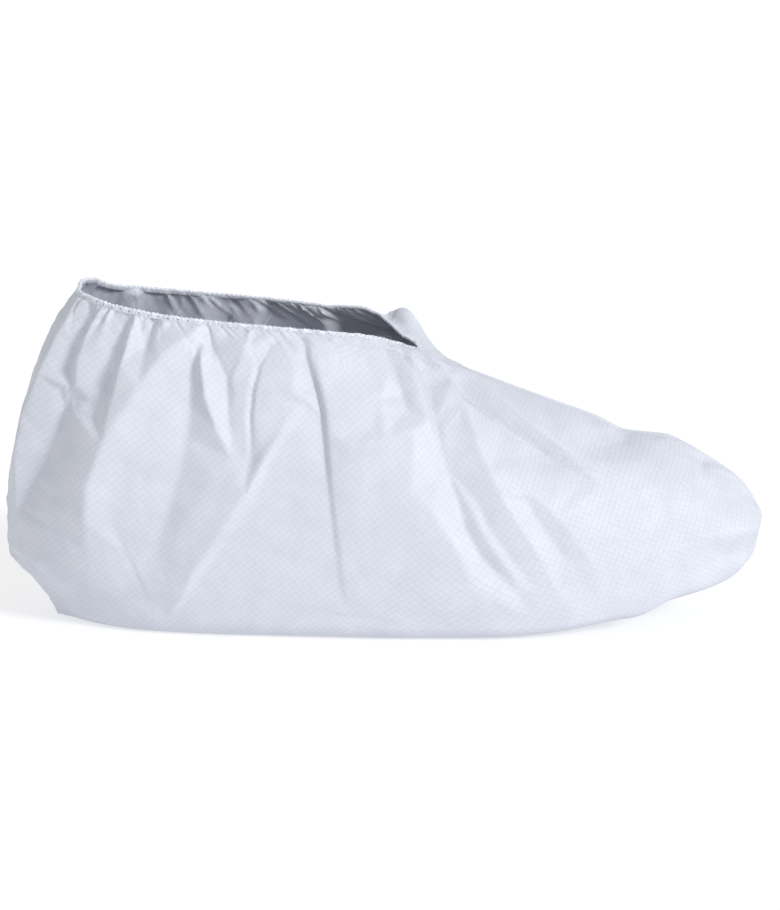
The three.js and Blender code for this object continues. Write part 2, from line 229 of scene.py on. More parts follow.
def flattened(grid):  # the panel laid out flat, every length kept as nearly as it can be
    size = (flatMap["columns"], flatMap["rows"])
    pick = [np.linspace(0, n - 1, k).round().astype(int) for n, k in zip(grid.shape, size)]
    coarse = grid[np.ix_(*pick)]
    onSole = coarse[..., 1] - coarse[:, pick[1] >= firstWallRow][:, :1, 1]
    flat = np.stack([coarse[..., 0], coarse[..., 2] + np.minimum(onSole, 0)], -1)
    links = []
    for di, dj in ((1, 0), (0, 1), (1, 1), (1, -1)):
        a = (slice(0, size[0] - di), slice(max(0, -dj), size[1] - max(0, dj)))
        b = (slice(di, size[0]), slice(max(0, dj), size[1] + min(0, dj)))
        links.append((a, b, np.linalg.norm(coarse[b] - coarse[a], axis=2)))
    for _ in range(flatMap["rounds"]):
        move, met = np.zeros_like(flat), np.zeros(size)
        for a, b, rest in links:
            gap = flat[b] - flat[a]
            length = np.maximum(np.linalg.norm(gap, axis=2), 1e-6)
            pull = gap * ((length - rest) / length / 2)[..., None]
            move[a] += pull
            move[b] -= pull
            met[a] += 1
            met[b] += 1
        flat += flatMap["speed"] * move / met[..., None]
    full = np.empty(grid.shape[:2] + (2,))
    for axis in range(2):
        across = np.array([np.interp(np.arange(grid.shape[1]), pick[1], row) for row in flat[..., axis]])
        full[..., axis] = pointsAt(np.arange(grid.shape[0]), pick[0], across)
    return full


# How far the embossed grid is turned on the cloth, in degrees, and the x between which it changes.
turn = {"heel": 6, "toe": -20, "from": 0, "to": 95, "middle": 60, "reach": 260}


def bent(flat):  # the flat map, turned a little from the heel to the toe
    run = np.arange(-turn["reach"], turn["reach"] + 1.0)
    part = smooth((run - turn["from"]) / (turn["to"] - turn["from"]))
    angle = np.radians(turn["heel"] + (turn["toe"] - turn["heel"]) * part)
    line = np.stack([np.cumsum(np.cos(angle)), np.cumsum(np.sin(angle))], 1)
    u, w = flat[..., 0], flat[..., 1] - turn["middle"]
    here = np.interp(u, run, angle)
    return np.stack([np.interp(u, run, line[:, 0]) - w * np.sin(here),
                     np.interp(u, run, line[:, 1]) + w * np.cos(here)], -1)


# The relief is a height field in mm over a flat chart.
def raster(points, edges, values, low, high, cell):  # triangles between the points, as arrays of cells
    made = geometry.delaunay_2d_cdt([Vector(p) for p in points], edges, [], 0, 1e-3)
    places, triangles, sources = np.array(made[0]), made[2], made[3]
    corners = np.empty((len(places), values.shape[1]))
    ends = np.array([(points[a] + points[b]) for a, b in edges]).reshape(-1, 4)
    for k, found in enumerate(sources):
        if found:
            corners[k] = values[found].mean(0)
            continue
        a, b = ends[:, :2], ends[:, 2:]  # two folds cross here: their mean
        s = np.clip(((places[k] - a) * (b - a)).sum(1) / np.maximum(((b - a) ** 2).sum(1), 1e-9), 0, 1)
        near = np.argsort(np.linalg.norm(a + (b - a) * s[:, None] - places[k], axis=1))[:2]
        corners[k] = np.mean([values[edges[n][0]] * (1 - s[n]) + values[edges[n][1]] * s[n]
                              for n in near], axis=0)
    size = np.ceil((np.array(high) - low) / cell).astype(int) + 1
    field = np.zeros((values.shape[1], size[0], size[1]))
    for triangle in triangles:
        p = (places[triangle] - low) / cell
        i0, j0 = np.maximum(np.floor(p.min(0)).astype(int), 0)
        i1, j1 = np.minimum(np.ceil(p.max(0)).astype(int) + 1, size)
        (ax, ay), (bx, by), (cx, cy) = p
        area = (bx - ax) * (cy - ay) - (cx - ax) * (by - ay)
        if i0 >= i1 or j0 >= j1 or abs(area) < 1e-9:
            continue
        x, y = np.meshgrid(np.arange(i0, i1), np.arange(j0, j1), indexing="ij")
        wb = ((x - ax) * (cy - ay) - (cx - ax) * (y - ay)) / area
        wc = ((bx - ax) * (y - ay) - (x - ax) * (by - ay)) / area
        inside = (wb > -1e-6) & (wc > -1e-6) & (wb + wc < 1 + 1e-6)
        value = ((1 - wb - wc)[None] * corners[triangle[0]][:, None, None]
                 + wb[None] * corners[triangle[1]][:, None, None]
                 + wc[None] * corners[triangle[2]][:, None, None])
        field[:, i0:i1, j0:j1] = np.where(inside, value, field[:, i0:i1, j0:j1])
    return field


def blurred(field, spread):  # spread in cells
    a = np.fft.fftfreq(field.shape[0])[:, None]
    b = np.fft.rfftfreq(field.shape[1])[None]
    return np.fft.irfft2(np.fft.rfft2(field) * np.exp(-2 * (math.pi * spread) ** 2 * (a * a + b * b)),
                         field.shape)


def sampled(field, low, cell, at):
    p = np.clip((at - low) / cell, 0, np.array(field.shape) - 1.001)
    i, j = np.floor(p[..., 0]).astype(int), np.floor(p[..., 1]).astype(int)
    a, b = p[..., 0] - i, p[..., 1] - j
    return (field[i, j] * (1 - a) * (1 - b) + field[i + 1, j] * a * (1 - b)
            + field[i, j + 1] * (1 - a) * b + field[i + 1, j + 1] * a * b)


# The chart of the folds in side view: its corners and cells in mm, and the edges' softness in mm.
chart = {
    "low": (-196.0, -12.0),
    "high": (196.0, 172.0),
    "cell": 0.6,
    "levels": (0.3, 1.0, 3.2),  # the chart is blurred this much, and blended between these
    "softness": 0.75,    # of each fold's own softness
    "spread": 0.7,       # how quickly it changes from fold to fold
    "outlineSoftness": 2.5,
    "outlineStep": 6,    # rows or columns between its points
}


def foldHeights(folds, outline, at):  # facets between the fold lines, each edge as soft as it says
    low, high, cell = np.array(chart["low"]), np.array(chart["high"]), chart["cell"]
    points, edges, values = [], [], []
    for soft, line in folds:
        for k, (x, z, height) in enumerate(line):
            if k:
                edges.append((len(points) - 1, len(points)))
            points.append((x, z))
            values.append((height, soft))
    points += outline
    values += [(0, chart["outlineSoftness"])] * len(outline)
    height, soft = raster(points, edges, np.array(values, float), low, high, cell)
    soft = blurred(chart["softness"] * soft, chart["spread"] / cell)
    levels = chart["levels"]
    blend = blurred(height, levels[0] / cell)
    for sharper, softer in zip(levels, levels[1:]):
        part = ramp((soft - sharper) / (softer - sharper))
        blend = blend * (1 - part) + blurred(height, softer / cell) * part
    return sampled(blend, low, cell, at)


def crumples(seed, pitch, rise, at):  # small chance facets, pitch apart, over the flat cut
    jitter, cellsPerPitch, blur = 0.45, 10, pitch / 14
    random = np.random.default_rng(seed)
    low, high = at.reshape(-1, 2).min(0) - 5, at.reshape(-1, 2).max(0) + 5
    x, y = np.meshgrid(np.arange(low[0], high[0], pitch), np.arange(low[1], high[1], pitch))
    points = np.stack([x.ravel(), y.ravel()], 1) + random.uniform(-jitter, jitter, (x.size, 2)) * pitch
    heights = random.uniform(-rise, rise, (len(points), 1))
    cell = pitch / cellsPerPitch
    field = raster([tuple(p) for p in points], [], heights, low, high, cell)[0]
    return sampled(blurred(field, blur / cell), low, cell, at)


# Short pleats that the elastic pulls into the cloth under the hem, in mm.
pleat = {
    "spacing": (1.9, 4.8),
    "length": (6, 30),
    "lengthSpread": (0.35, 1),
    "rise": 2.1,
    "riseSpread": (0.6, 1.1),
    "leastRise": 0.35,    # share of the rise that the shortest ones still have
    "slant": 0.34,
    "width": 0.5,
    "widthSpread": (0.8, 1.6),
    "widening": 0.07,     # per mm below the hem
    "start": (0.9, 1.1),  # begins this far below the rim, and is full this much further down
    "firstShare": 0.75,   # of the rise at the top, growing to all of it over firstReach
    "firstReach": 6,
    "lipChance": 0.45,    # how often a lip stands beside the pleat
    "lipAside": 1.9,      # pleat widths
    "lipRise": 0.6,
    "fading": 0.8,        # how quickly a pleat ends downwards
    "sharpness": 1.2,
    "lipSharpness": 1.6,
}


def gathers(seed, across, below):
    random = np.random.default_rng(seed)
    height = np.zeros_like(across)
    least, first = pleat["leastRise"], pleat["firstShare"]
    begin, full = pleat["start"]
    start = smooth((below - begin) / full) * (first + (1 - first) * ramp(below / pleat["firstReach"]))
    place = across.min() + 2
    while place < across.max() - 2:
        length = random.uniform(*pleat["length"]) * random.uniform(*pleat["lengthSpread"])
        rise = pleat["rise"] * (least + (1 - least) * length / pleat["length"][1])
        rise *= random.uniform(*pleat["riseSpread"])
        slant = random.uniform(-1, 1) * pleat["slant"]
        width = pleat["width"] * random.uniform(*pleat["widthSpread"]) + pleat["widening"] * below
        away = across - place - slant * below
        fade = ramp(1 - below / length) ** pleat["fading"]
        height -= rise * start * fade * np.exp(-np.abs(away / width) ** pleat["sharpness"])
        if random.random() < pleat["lipChance"]:
            aside = np.abs(away - random.choice((-1, 1)) * pleat["lipAside"] * width) / width
            height += pleat["lipRise"] * rise * start * fade * np.exp(-aside ** pleat["lipSharpness"])
        place += random.uniform(*pleat["spacing"])
    return height


# Folds of each panel in side view. Each has how soft its edge is, then x, z and height in mm. The
# heights are multiplied by panels["foldRise"].
folds = {
    "right": [
        # heel: ridge beside the seam, with the foot of its facet and the fold over the corner
        (0.6, [(-140, 154, 1.5), (-149, 138, 3), (-156, 120, 4.6), (-163, 101, 5.4), (-168, 82, 4.8),
               (-173, 53, 1)]),
        (0.5, [(-145, 118, 0), (-149, 106, -1.2), (-157, 87, -1.6), (-165, 70, -1.2), (-171, 57, 0)]),
        (0.4, [(-179, 36, 0.4), (-172, 34, 1.1), (-165, 31, 0.8), (-159, 25, 0.2)]),
        (0.8, [(-176, 30, -1.2), (-170, 29, -1.8), (-163, 24, -0.8)]),
        # gathers behind the ankle, with small crinkles at their lower ends
        (0.8, [(-131, 151, 1.5), (-136, 141, 2.2), (-140, 129, 2.2), (-142, 117, 1.2)]),
        (0.6, [(-135, 152, -0.8), (-139, 143, -1.1), (-144, 135, -0.9), (-147, 124, -0.5)]),
        (0.4, [(-121, 146, -1.1), (-127, 130, -1.2), (-134, 120, -0.9)]),
        (0.4, [(-122, 132, -0.6), (-127, 122, -1.4), (-131, 115, -0.4)]),
        (0.5, [(-117, 151, -0.9), (-121, 141, -0.9), (-125, 129, -0.6)]),
        (0.5, [(-114, 150, 1.2), (-117, 138, 2.4), (-120, 128, 3), (-123, 114, 3.6), (-126, 101, 4.5)]),
        (0.6, [(-105, 149, -1), (-109, 143, -1), (-110, 137, -0.3)]),
        (0.8, [(-101, 149, 1.2), (-104, 141, 1.2)]),
        (0.3, [(-150, 114, 0.3), (-146, 117, 0.9), (-140, 116, 0.6)]),
        (0.3, [(-146, 111, -0.7), (-142, 112, -0.9), (-136, 111, -0.3)]),
        (0.3, [(-144, 106, 0.3), (-140, 107, 0.6), (-134, 104, 0.6)]),
        # broad roll over the ankle bone and the foot of its lit side
        (1.6, [(-85, 145, 1.5), (-102, 132, 3), (-111, 119, 4), (-118, 107, 4.7), (-127, 93, 5),
               (-134, 75, 4.7), (-137, 56, 3.3), (-138, 42, 1.6)]),
        (3, [(-87, 138, 0.2), (-96, 127, 0.8), (-104, 113, 1.2), (-114, 94, 1.5), (-122, 78, 1.5),
             (-127, 60, 0.8)]),
        # hollow in front of it
        (2, [(-84, 142, -0.6), (-88, 128, -1.2), (-89, 112, -1.6), (-91, 96, -1.8), (-95, 78, -1.7),
             (-100, 60, -1.3), (-105, 46, -0.5)]),
        # three pleats under the hem that meet at one point
        (0.4, [(-84, 147, 1), (-84, 132, 2.3), (-82, 116, 2.6), (-77, 102, 2), (-70, 88, 0.4)]),
        (0.3, [(-82, 147, 0), (-78, 136, -0.6), (-72, 124, -0.7), (-71, 105, 0), (-70, 94, 0.3)]),
        (0.3, [(-62, 147, 1.6), (-64, 137, 2), (-70, 122, 0.2)]),
        (0.8, [(-68, 117, 0.7), (-69, 94, 0.2)]),
        (0.3, [(-61, 138, 1.5), (-57, 139, 1.9), (-54, 137, 1.5)]),
        # tuck with its two lips
        (0.2, [(-46, 143, -0.1), (-52, 138, -0.5), (-57, 129, -0.6), (-60, 118, -0.6), (-61, 107, -0.5),
               (-61, 87, -0.1)]),
        (0.4, [(-54, 137, 0.8), (-59, 129, 1.1), (-62, 118, 1.2), (-63, 107, 1), (-63, 87, 0.2)]),
        (0.2, [(-51, 139, 0.4), (-56, 130, 0.5), (-59, 118, 0.7), (-60, 107, 0.6), (-60, 87, 0.1)]),
        (2, [(-42, 133, 1), (-50, 118, 1.2), (-53, 104, 1.1), (-56, 93, 1)]),
        (1.2, [(-48, 115, 1.2), (-41, 117, 1.9), (-35, 115, 1.5)]),
        # long narrow fold running down to the heel
        (0.2, [(-37, 112, 0.9), (-44, 105, 1.6), (-56, 85, 2.5), (-64, 70, 3.2), (-73, 56, 3.4),
               (-88, 33, 2.5),
               (-98, 14, 0.8)]),
        (0.2, [(-35, 110, 0), (-41, 103, -0.1), (-53, 84, -0.3), (-60, 69, -0.3), (-70, 54, -0.3),
               (-86, 30, -0.2),
               (-96, 12, 0)]),
        (2, [(-69, 87, 0.5), (-77, 79, 1.1), (-90, 59, 1.2), (-97, 46, 0.9), (-102, 32, 0.5),
             (-104, 17, 0.2)]),
        (0.3, [(-120, 42, -0.1), (-115, 31, -0.25), (-110, 20, -0.1)]),
        (0.5, [(-118, 42, 0), (-113, 31, 0.1), (-108, 20, 0)]),
        # upright crease in the middle, its lip and the ridge beside it
        (0.2, [(-37, 142, -0.4), (-35, 132, -0.8), (-31, 120, -0.9), (-28, 107, -0.8), (-25, 76, -0.4),
               (-20, 31, -0.2), (-18, 16, 0)]),
        (0.3, [(-35, 140, 0.2), (-34, 132, 0.5), (-30, 120, 0.8), (-27, 107, 0.9), (-24, 76, 0.7),
               (-19, 31, 0.3), (-18, 20, 0.1)]),
        (0.4, [(-34, 142, 0.3), (-31, 130, 1.2), (-27, 115, 1.5), (-24, 99, 1.4), (-22, 87, 1.2),
               (-19, 47, 0.6),
               (-17, 17, 0.1)]),
        # smooth patch over the instep, ending in a shelf
        (0.6, [(-15, 94, 2.5), (-8, 95, 2.6), (0, 97, 2.4), (14, 100, 2.3)]),
        (0.4, [(2, 123, 1.3), (-2, 114, 0.9), (-6, 100, 1.6)]),
        (0.3, [(-29, 15, -0.1), (-19, 13, -0.3), (-6, 12, -0.3), (6, 10, 0)]),
        (0.5, [(-28, 17, 0.1), (-19, 15, 0.2), (-6, 14, 0.2), (5, 12, 0.1)]),
        # short folds at the front end of the hem
        (0.3, [(1, 136, -0.4), (2, 131, -0.8), (6, 124, -1.1), (9, 116, -0.9), (11, 109, 0)]),
        (0.5, [(4, 135, 0.5), (8, 130, 1.2), (12, 124, 1.6), (15, 117, 1.9), (19, 103, 2.3)]),
        (0.2, [(8, 133, -0.1), (10, 130, -0.4), (11, 127, 0.4)]),
        (0.3, [(10, 133, 0.4), (12, 130, 0.9), (13, 126, 1.2)]),
        # broad roll down to the ball of the foot, with the valley and the main ridge beside it
        (1.4, [(-18, 86, 1.7), (-9, 81, 2), (1, 78, 2.1), (12, 72, 2.3), (22, 65, 2.5), (33, 48, 2.5),
               (41, 27, 1.8), (48, 7, 0.4)]),
        (0.5, [(14, 130, -0.6), (19, 124, -1.6), (22, 118, -2), (24, 104, -1.4), (29, 84, -1.6),
               (35, 66, -1.4),
               (38, 54, -1.1), (44, 43, -0.9), (54, 32, -0.6), (62, 23, -0.2)]),
        (0.4, [(27, 101, -0.1), (31, 103, 1.1), (35, 102, 1.7)]),
        (0.5, [(38, 68, -0.6), (44, 56, 0.3), (52, 43, 0.5), (60, 33, 0.3), (66, 26, 0)]),
        (0.8, [(42, 69, -0.8), (49, 55, -0.6), (58, 42, -0.5), (67, 30, -0.2)]),
        (0.3, [(20, 128, 0.8), (25, 122, 2.1), (29, 117, 2.8), (35, 108, 2.9), (44, 88, 2.3), (49, 78, 1.9),
               (54, 69, 1.5), (63, 55, 1.1), (73, 40, 0.8), (80, 25, 0.4)]),
        (1.2, [(40, 33, 1.9), (50, 24, 1.2), (59, 17, 0.8), (69, 13, 0.3)]),
        # hollows of the forefoot
        (0.3, [(27, 123, -0.6), (31, 119, -1.7), (38, 114, -2.4), (56, 100, -2.3), (68, 92, -2.1),
               (80, 83, -1.6),
               (92, 76, -0.9), (101, 72, 0)]),
        (0.4, [(30, 124, 0.6), (36, 120, 1.7), (45, 114, 2.2), (63, 101, 2.2), (80, 89, 1.7), (88, 83, 1.1),
               (96, 77, 0.4)]),
        (3, [(94, 92, -0.1), (105, 87, -0.4), (115, 84, -0.3), (124, 81, 0)]),
        (0.3, [(109, 90, -0.2), (113, 88, -0.9), (118, 86, -0.2)]),
        (0.4, [(100, 93, 0.1), (106, 92, 0.4), (111, 91, 0.4)]),
        (1.2, [(65, 68, -0.3), (73, 55, -0.9), (83, 41, -0.9), (91, 32, -0.3)]),
        (0.6, [(68, 70, 0.3), (74, 65, 0.7), (80, 59, 0.9), (88, 49, 0.8), (97, 36, 0.4)]),
        # toe
        (3, [(140, 54, -0.3), (152, 59, -1.2), (162, 61, -1.4), (173, 60, -0.8)]),
        (2.5, [(148, 45, 0.7), (160, 46, 1.2), (174, 46, 1)]),
        (1.6, [(140, 28, -0.5), (152, 30, -1.4), (161, 34, -1.8), (176, 32, -1.6)]),
        (1, [(152, 77, -1.2), (150, 69, -0.3)]),
    ],
    "left": [
        # heel
        (1.2, [(-141, 153, 1.5), (-152, 134, 2.8), (-160, 112, 3.2), (-167, 88, 2.8), (-171, 66, 1.5),
               (-172, 54, 0.5)]),
        (1.2, [(-148, 118, 0), (-155, 96, -0.8), (-163, 74, -0.6), (-169, 60, 0)]),
        (1, [(-128, 151, 1.4), (-134, 136, 2.4), (-137, 120, 1)]),
        (0.8, [(-120, 150, -1.6), (-125, 134, -2), (-132, 118, -1)]),
        (0.8, [(-112, 149, 1.4), (-114, 134, 2.6), (-121, 118, 1.6)]),
        # broad roll over the ankle bone, and the hollow in front of it
        (3, [(-92, 146, 1.5), (-106, 130, 3), (-120, 108, 4.2), (-130, 86, 4.5), (-136, 64, 3.5),
             (-138, 42, 1.5), (-136, 30, 0.5)]),
        (3, [(-96, 134, 0.4), (-110, 108, 1.2), (-120, 86, 1.4), (-126, 64, 1)]),
        (4, [(-87, 141, -2), (-90, 118, -2.5), (-96, 92, -2), (-104, 66, -1.2), (-108, 44, -0.4)]),
        # pleats under the hem
        (0.8, [(-74, 143, 1.5), (-78, 124, 2.4), (-76, 102, 2), (-70, 84, 0.6)]),
        (0.6, [(-60, 141, -1), (-65, 124, -2.5), (-66, 104, -2.4), (-63, 86, -0.6)]),
        (0.8, [(-56, 142, 1), (-60, 126, 1.8), (-60, 106, 1.4)]),
        # long narrow fold running down to the heel
        (0.8, [(-40, 120, 1.2), (-52, 104, 2.6), (-66, 78, 2.8), (-82, 54, 2.2), (-96, 30, 1.6),
               (-106, 12, 0.5)]),
        (0.8, [(-36, 118, 0.2), (-47, 101, 0.2), (-61, 76, -0.2), (-77, 50, -0.2), (-92, 27, 0)]),
        # upright crease in the middle
        (1, [(-29, 139, -1), (-25, 120, -2.8), (-23, 96, -3), (-27, 70, -2.4), (-31, 44, -1.4),
             (-33, 22, -0.2)]),
        (1.2, [(-22, 137, 0.8), (-15, 118, 2.8), (-13, 94, 3.2), (-17, 66, 2.6), (-22, 40, 1.6),
               (-25, 20, 0.4)]),
        # cloth bunched up over the lacing of the shoe
        (1, [(1, 130, 1.5), (7, 130, 2.6), (14, 126, 3), (21, 121, 2.4), (29, 116, 1)]),
        (2, [(-3, 118, 0.5), (9, 112, 0.8), (22, 108, 0.4)]),
        # forefoot
        (2, [(8, 104, 2.4), (14, 92, 3.4), (24, 74, 4), (34, 54, 3.6), (42, 32, 2), (48, 14, 0.4)]),
        (2, [(26, 108, -1.5), (32, 98, -2.2), (42, 80, -2.5), (53, 60, -2), (62, 40, -1.2), (70, 24, -0.2)]),
        (1, [(34, 118, 0.8), (43, 102, 2.4), (54, 82, 2.8), (65, 61, 2), (76, 40, 1.2), (84, 24, 0.3)]),
        (2, [(44, 115, -0.6), (60, 103, -2), (78, 88, -1.8), (96, 74, -0.6)]),
        (2.5, [(84, 68, -0.4), (92, 52, -1.6), (102, 36, -1.2), (110, 24, -0.2)]),
        # toe
        (3, [(138, 50, -0.3), (152, 55, -1.5), (166, 53, -1.2)]),
        (2, [(148, 42, 1), (168, 42, 1.2)]),
        (2, [(138, 30, -0.4), (154, 32, -1.8), (172, 30, -1.5)]),
    ],
}


# The side panels, in mm.
panels = {
    "thickness": 0.35,    # the laminate itself is taken to be about 0.25
    "leastThickness": 0.3,  # in tight folds
    "innerRounds": 6,     # of keeping the inner skin clear of the outer
    "parting": 0.05,      # from the seam plane to each panel's edge
    "grooveDepth": 0.6,   # the cloth dips into the seam
    "grooveWidth": 1.6,
    "grooveLoss": 0.75,   # how much shallower it is over the toe
    "grooveToe": (10, 40),  # the x where that begins, and how much further on it is full
    "grooveTop": 3,       # it fades this close to the hem
    "puckerRise": 0.8,    # how far the seam draws the cloth in and out beside it
    "puckerReach": 5,
    "puckerStart": 1.2,   # away from the seam
    "puckerTop": 6,       # they fade this close to the hem
    "puckerPitch": 2.9,   # between their chance heights, in rows
    "puckerSlant": 1.35,  # columns count this many rows
    "puckerRows": 620,    # the last of them
    "foldRise": 1.6,      # all fold heights are multiplied by this
    "crumplePitch": 11.0,
    "crumpleRise": 0.1,
    "finePitch": 4.2,
    "fineRise": 0.48,
    "fineReach": 34.0,    # the fine crumples fade this far below the hem
    "fineShare": 0.25,    # to this share
    "hemEdge": 1.9,       # the relief stays low as far as this, so that the hem lies on top
    "hemSlope": 1.1,      # and then may rise this steeply
    "hemLeast": 0.05,     # it may always rise this far
    "rimFade": (0.5, 1.7),  # it begins this far below the rim, and is full this much further down
    "soleShare": 0.12,    # of the relief is left on the sole
    "soleFade": 14,       # rows of the wall over which it still grows
    "seamFade": 4.5,      # it fades this close to the seam
    "seamReach": 30,      # whatever is further away counts as this far
    "poleFade": 6,        # and this close to where the sole comes to a point
    "sharpEdge": 70,      # degrees; the cut edge doesn't shade into the skins
}


# One thickness down, and lower only where a longer span would cross the outer skin.
def innerHeights(height):
    low = (height - panels["thickness"])[::2, ::2]
    spans = np.empty_like(height)
    for _ in range(panels["innerRounds"]):
        spans[::2, ::2] = low
        spans[1::2, ::2] = (low[:-1] + low[1:]) / 2
        spans[:, 1::2] = (spans[:, :-2:2] + spans[:, 2::2]) / 2
        spans[1::2, 1::2] = np.maximum(low[:-1, :-1] + low[1:, 1:], low[1:, :-1] + low[:-1, 1:]) / 2
        over = np.pad(np.maximum(spans - height + panels["leastThickness"], 0), 1)
        low = low - np.max([over[i:i + height.shape[0]:2, j:j + height.shape[1]:2]
                            for i in range(3) for j in range(3)], axis=0)
    return low


def seamRelief(base, below, seed):  # the groove along the seam, and the puckers beside it
    seamWay = np.minimum(np.abs(base[..., 1]), panels["seamReach"])
    columns, rows = np.arange(base.shape[0])[:, None], np.arange(base.shape[1])[None]
    knots = np.arange(0, panels["puckerRows"], panels["puckerPitch"])
    wave = np.interp(columns * panels["puckerSlant"] + rows, knots,
                     np.random.default_rng(seed).uniform(-1, 1, len(knots)))
    start, run = panels["grooveToe"]
    groove = panels["grooveDepth"] * (1 - panels["grooveLoss"] * smooth((base[..., 0] - start) / run))
    groove *= bell(seamWay / panels["grooveWidth"]) * (1 - smooth(1 - below / panels["grooveTop"]))
    pucker = panels["puckerRise"] * wave * np.exp(-seamWay / panels["puckerReach"])
    pucker *= smooth(seamWay / panels["puckerStart"]) * smooth(below / panels["puckerTop"])
    return smooth(seamWay / panels["seamFade"]), pucker - groove


def panel(side, seed):
    t = shares(form["columns"])
    base = panelGrid(t)
    rows = np.arange(base.shape[1])[None] - firstWallRow
    share = ramp(rows / form["wallRows"])
    base[..., 2] += shelf(t[:, None], share)
    if side == "left":
        base += farShift(t[:, None], share)
    normal = gridNormals(base)
    cut = flattened(base)
    rib = np.linalg.norm(np.diff(base, axis=1), axis=2).cumsum(1)
    rib = np.concatenate([np.zeros((len(t), 1)), rib], axis=1)
    below = rib[:, -1:] - rib
    across = distances(base[:, -1])[:, None] + 0 * below

    wall = base[:, firstWallRow:]
    step = chart["outlineStep"]
    ring = [wall[::step, 0], wall[::step, -1], wall[0, ::step], wall[-1, ::step]]
    outline = [(float(x), float(z)) for x, _, z in np.concatenate(ring)]
    height = panels["foldRise"] * foldHeights(folds[side], outline, base[..., (0, 2)])
    height += crumples(seed, panels["crumplePitch"], panels["crumpleRise"], cut)
    nearHem = smooth(1 - below / panels["fineReach"])
    nearHem = panels["fineShare"] + (1 - panels["fineShare"]) * nearHem
    height += nearHem * crumples(seed + 1, panels["finePitch"], panels["fineRise"], cut)
    height += gathers(seed + 2, across, below)
    allowed = panels["hemSlope"] * np.clip(below - panels["hemEdge"], 0, None)
    height = np.minimum(height, panels["hemLeast"] + allowed)
    begin, full = panels["rimFade"]
    height *= smooth((below - begin) / full)
    onWall = smooth((rows + form["cornerRows"]) / (form["cornerRows"] + panels["soleFade"]))
    height *= panels["soleShare"] + (1 - panels["soleShare"]) * onWall
    fade, sewn = seamRelief(base, below, seed + 3)
    height = height * fade + sewn
    for pole in (base[0, 0], base[-1, 0]):  # plain where the sole comes to a point
        height *= smooth(np.linalg.norm(base - pole, axis=2) / panels["poleFade"])

    outer = base + normal * height[..., None]
    inner = base[::2, ::2] + normal[::2, ::2] * innerHeights(height)[..., None]
    for layer, floorHeight in ((outer, 0), (inner, panels["thickness"])):
        layer[..., 1] = np.maximum(layer[..., 1], 0)
        layer[0, :, 1] = layer[-1, :, 1] = 0
        layer[:, 0, 1] = 0
        layer[..., 1] += panels["parting"]
        layer[..., 2] = np.maximum(layer[..., 2], floorHeight)
    return outer, inner, bent(cut)


def newMesh(name, points, faces, edges=()):  # smooth, with its points in mm above the ground
    mesh = bpy.data.meshes.new(name)
    mesh.from_pydata(((points + (0, 0, groundZ)) * mm).tolist(), edges, faces)
    mesh.shade_smooth()
    return mesh


def added(name, data):  # to the scene, as an object
    thing = bpy.data.objects.new(name, data)
    scene.collection.objects.link(thing)
    return thing


def putMap(mesh, name, places):  # one place on the map for each vertex, in metres
    layer = mesh.uv_layers.new(name=name)
    corners = np.empty(len(mesh.loops), np.int32)
    mesh.loops.foreach_get("vertex_index", corners)
    layer.data.foreach_set("uv", (np.asarray(places) * mm)[corners].ravel())


def polygons(*corners):
    return np.stack([x.ravel() for x in corners], 1).tolist()


def tubeFaces(at, closed):  # around and along the rings of points, capped where the tube isn't closed
    here, ahead = (at, np.roll(at, -1, 0)) if closed else (at[:-1], at[1:])
    faces = polygons(here, np.roll(here, -1, 1), np.roll(ahead, -1, 1), ahead)
    return faces if closed else faces + [at[0][::-1].tolist(), at[-1].tolist()]


def triangles(mesh):
    return sum(len(face.vertices) - 2 for face in mesh.polygons)


def shell(name, outer, inner, cut, mirrored):  # the inner skin has half as many points each way
    points = np.concatenate([outer.reshape(-1, 3), inner.reshape(-1, 3)])
    if mirrored:
        points = points * (1, -1, 1)
    at = np.arange(outer.size // 3).reshape(outer.shape[:2])
    under = at.size + np.arange(inner.size // 3).reshape(inner.shape[:2])
    for end in (0, -1):  # the sole's rows share one point under the heel and one under the toe
        at[end, :firstWallRow + 1] = at[end, 0]
        under[end, :firstWallRow // 2 + 1] = under[end, 0]
    faces = polygons(at[:-1, :-1], at[:-1, 1:], at[1:, 1:], at[1:, :-1])
    faces += polygons(under[:-1, :-1], under[1:, :-1], under[1:, 1:], under[:-1, 1:])
    for edge, below in ((at[:, 0], under[:, 0]), (at[::-1, -1], under[::-1, -1]),
                        (at[0][::-1], under[0][::-1]), (at[-1], under[-1])):
        faces += polygons(edge[:-1:2], edge[1::2], edge[2::2], below[1:], below[:-1])
    faces = [list(dict.fromkeys(face)) for face in faces]
    faces = [face[::-1] if mirrored else face for face in faces if len(face) > 2]
    kept = sorted({corner for face in faces for corner in face})
    place = {corner: number for number, corner in enumerate(kept)}
    mesh = newMesh(name, points[kept], [[place[corner] for corner in face] for face in faces])
    putMap(mesh, "cutCloth", np.concatenate([cut.reshape(-1, 2), cut[::2, ::2].reshape(-1, 2)])[kept])
    piece = added(name, mesh)
    mesh.set_sharp_from_angle(angle=math.radians(panels["sharpEdge"]))
    return piece


def linear(hexColour):
    parts = [int(hexColour[k:k + 2], 16) / 255 for k in (1, 3, 5)]
    return [c / 12.92 if c <= 0.04045 else ((c + 0.055) / 1.055) ** 2.4 for c in parts] + [1]


def addNode(tree, kind, inputs=None, **settings):
    node = tree.nodes.new(kind)
    for name, value in settings.items():
        setattr(node, name, value)
    for socket, value in (inputs or {}).items():
        if isinstance(value, bpy.types.NodeSocket):
            tree.links.new(value, node.inputs[socket])
        else:
            node.inputs[socket].default_value = value
    return node


def calculated(tree, operation, *values):
    return addNode(tree, "ShaderNodeMath", dict(enumerate(values)), operation=operation).outputs[0]


